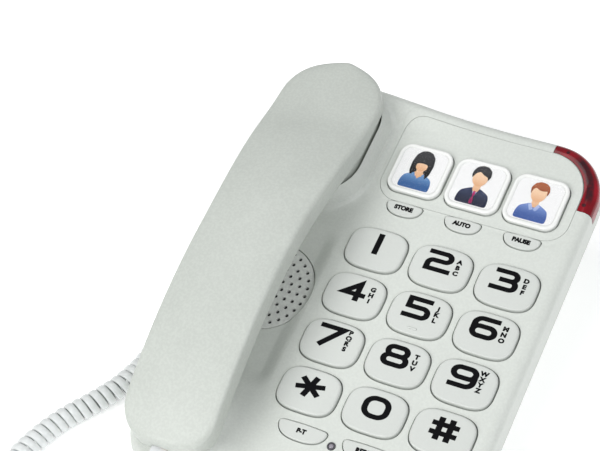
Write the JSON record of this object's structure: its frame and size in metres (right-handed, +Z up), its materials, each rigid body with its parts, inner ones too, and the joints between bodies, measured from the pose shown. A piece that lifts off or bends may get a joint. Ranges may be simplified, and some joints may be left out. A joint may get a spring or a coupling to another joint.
{
  "type": "corded telephone",
  "caption": "Corded desk telephone with large keys, picture memory keys, a red ringer lens and a handset lying in its cradle on a coiled cord.",
  "frame": {"origin": "on the table, under the middle of the base and handset together, without the cord and its plugs", "axes": "+X to the right as the user sees it, +Y away from the user, +Z up"},
  "size_m": [0.2214, 0.2802, 0.0834],
  "materials": {
    "case": "pale warm grey moulded plastic with a fine texture, satin",
    "keycap": "smooth satin moulded plastic, printed black",
    "grille": "coarse sparked moulded texture",
    "window": "clear polished plastic",
    "card": "white printed paper",
    "red_lens": "polished translucent red plastic",
    "lamp": "smoked lamp, glossy",
    "cord": "glossy white flexible sheath",
    "clear_plug": "clear moulded plug",
    "dark_plastic": "dark moulded plastic",
    "board": "green solder mask",
    "rubber": "matt rubber",
    "steel": "zinc plated"
  },
  "bodies": {
    "base": {"base_top_shell": "case", "base_bottom_shell": "case", "memory_panel": "case", "ringer_lens": "red_lens", "ringer_lamp_board": "board", "speaker_grille": "grille", "ringer_speaker": "dark_plastic", "main_circuit_board": "board", "keypad_membrane": "rubber", "status_lamp": "lamp", "hook_switch": "dark_plastic", "line_jack": "dark_plastic", "handset_jack": "dark_plastic", "base_plug": "clear_plug", "handset_cord": "cord", "base_screw_1": "steel", "foot_1": "rubber", "base_screw_2": "steel", "foot_2": "rubber", "base_screw_3": "steel", "foot_3": "rubber", "base_screw_4": "steel", "foot_4": "rubber"},
    "handset": {"handset_outer_shell": "case", "handset_inner_shell": "case", "receiver_capsule": "dark_plastic", "microphone": "dark_plastic", "handset_weight": "steel", "handset_plug": "clear_plug"},
    "hook_plunger": {"hook_plunger": "case"},
    "ringer_switch": {"ringer_switch": "dark_plastic"},
    "key_1": {"key_1": "keycap"},
    "key_2": {"key_2": "keycap"},
    "key_3": {"key_3": "keycap"},
    "key_4": {"key_4": "keycap"},
    "key_5": {"key_5": "keycap"},
    "key_6": {"key_6": "keycap"},
    "key_7": {"key_7": "keycap"},
    "key_8": {"key_8": "keycap"},
    "key_9": {"key_9": "keycap"},
    "key_star": {"key_star": "keycap"},
    "key_0": {"key_0": "keycap"},
    "key_hash": {"key_hash": "keycap"},
    "store_key": {"store_key": "keycap"},
    "auto_key": {"auto_key": "keycap"},
    "pause_key": {"pause_key": "keycap"},
    "pulse_tone_key": {"pulse_tone_key": "keycap"},
    "redial_key": {"redial_key": "keycap"},
    "flash_key": {"flash_key": "keycap"},
    "memory_1": {"memory_key_1": "keycap", "memory_card_1": "card", "memory_window_1": "window"},
    "memory_2": {"memory_key_2": "keycap", "memory_card_2": "card", "memory_window_2": "window"},
    "memory_3": {"memory_key_3": "keycap", "memory_card_3": "card", "memory_window_3": "window"}
  },
  "joints": [
    {"name": "handset_lift", "type": "slide", "parent": "base", "child": "handset", "axis": [0, -0.1564, 0.9877], "range_m": [0, 0.08]},
    {"name": "hook_rise", "type": "slide", "parent": "base", "child": "hook_plunger", "axis": [0, -0.1564, 0.9877], "range_m": [0, 0.004]},
    {"name": "ringer_slide", "type": "slide", "parent": "base", "child": "ringer_switch", "axis": [1, 0, 0], "range_m": [-0.003, 0.003]},
    {"name": "key_1_press", "type": "slide", "parent": "base", "child": "key_1", "axis": [0, 0.1564, -0.9877], "range_m": [0, 0.0015], "stiffness_N_per_m": 400},
    {"name": "key_2_press", "type": "slide", "parent": "base", "child": "key_2", "axis": [0, 0.1564, -0.9877], "range_m": [0, 0.0015], "stiffness_N_per_m": 400},
    {"name": "key_3_press", "type": "slide", "parent": "base", "child": "key_3", "axis": [0, 0.1564, -0.9877], "range_m": [0, 0.0015], "stiffness_N_per_m": 400},
    {"name": "key_4_press", "type": "slide", "parent": "base", "child": "key_4", "axis": [0, 0.1564, -0.9877], "range_m": [0, 0.0015], "stiffness_N_per_m": 400},
    {"name": "key_5_press", "type": "slide", "parent": "base", "child": "key_5", "axis": [0, 0.1564, -0.9877], "range_m": [0, 0.0015], "stiffness_N_per_m": 400},
    {"name": "key_6_press", "type": "slide", "parent": "base", "child": "key_6", "axis": [0, 0.1564, -0.9877], "range_m": [0, 0.0015], "stiffness_N_per_m": 400},
    {"name": "key_7_press", "type": "slide", "parent": "base", "child": "key_7", "axis": [0, 0.1564, -0.9877], "range_m": [0, 0.0015], "stiffness_N_per_m": 400},
    {"name": "key_8_press", "type": "slide", "parent": "base", "child": "key_8", "axis": [0, 0.1564, -0.9877], "range_m": [0, 0.0015], "stiffness_N_per_m": 400},
    {"name": "key_9_press", "type": "slide", "parent": "base", "child": "key_9", "axis": [0, 0.1564, -0.9877], "range_m": [0, 0.0015], "stiffness_N_per_m": 400},
    {"name": "key_star_press", "type": "slide", "parent": "base", "child": "key_star", "axis": [0, 0.1564, -0.9877], "range_m": [0, 0.0015], "stiffness_N_per_m": 400},
    {"name": "key_0_press", "type": "slide", "parent": "base", "child": "key_0", "axis": [0, 0.1564, -0.9877], "range_m": [0, 0.0015], "stiffness_N_per_m": 400},
    {"name": "key_hash_press", "type": "slide", "parent": "base", "child": "key_hash", "axis": [0, 0.1564, -0.9877], "range_m": [0, 0.0015], "stiffness_N_per_m": 400},
    {"name": "store_key_press", "type": "slide", "parent": "base", "child": "store_key", "axis": [0, 0.1564, -0.9877], "range_m": [0, 0.0015], "stiffness_N_per_m": 400},
    {"name": "auto_key_press", "type": "slide", "parent": "base", "child": "auto_key", "axis": [0, 0.1564, -0.9877], "range_m": [0, 0.0015], "stiffness_N_per_m": 400},
    {"name": "pause_key_press", "type": "slide", "parent": "base", "child": "pause_key", "axis": [0, 0.1564, -0.9877], "range_m": [0, 0.0015], "stiffness_N_per_m": 400},
    {"name": "pulse_tone_key_press", "type": "slide", "parent": "base", "child": "pulse_tone_key", "axis": [0, 0.1564, -0.9877], "range_m": [0, 0.0015], "stiffness_N_per_m": 400},
    {"name": "redial_key_press", "type": "slide", "parent": "base", "child": "redial_key", "axis": [0, 0.1564, -0.9877], "range_m": [0, 0.0015], "stiffness_N_per_m": 400},
    {"name": "flash_key_press", "type": "slide", "parent": "base", "child": "flash_key", "axis": [0, 0.1564, -0.9877], "range_m": [0, 0.0015], "stiffness_N_per_m": 400},
    {"name": "memory_1_press", "type": "slide", "parent": "base", "child": "memory_1", "axis": [0, 0.1564, -0.9877], "range_m": [0, 0.0015], "stiffness_N_per_m": 400},
    {"name": "memory_2_press", "type": "slide", "parent": "base", "child": "memory_2", "axis": [0, 0.1564, -0.9877], "range_m": [0, 0.0015], "stiffness_N_per_m": 400},
    {"name": "memory_3_press", "type": "slide", "parent": "base", "child": "memory_3", "axis": [0, 0.1564, -0.9877], "range_m": [0, 0.0015], "stiffness_N_per_m": 400}
  ],
  "couplings": [
    {"joint": "hook_rise", "follows": "handset_lift", "ratio": 0.05}
  ]
}
